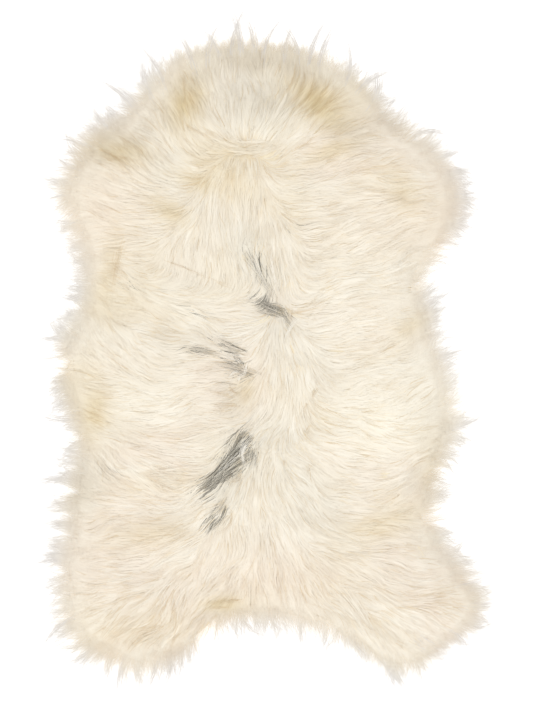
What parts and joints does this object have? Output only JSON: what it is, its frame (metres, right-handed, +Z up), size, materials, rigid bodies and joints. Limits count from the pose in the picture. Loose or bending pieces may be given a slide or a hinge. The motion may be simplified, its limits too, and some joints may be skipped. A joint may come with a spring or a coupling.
{
  "type": "sheepskin rug",
  "caption": "Long-haired sheepskin rug in the shape of the whole skin: a flat hide with combed ivory wool, a few grey patches and loose pointed locks round its rim.",
  "frame": {"origin": "on the floor, under the middle of the rug's bounding box", "axes": "+Z up out of the wool, +Y towards the neck end, +X to the right as seen from above with the neck away"},
  "size_m": [0.7338, 1.0876, 0.0618],
  "materials": {
    "wool": "long combed natural wool, ivory with a few grey-black strands, soft sheen",
    "hide": "tanned suede side, cream, matte with a fine nap"
  },
  "bodies": {
    "root": {"sheepskin": "wool"}
  },
  "joints": []
}
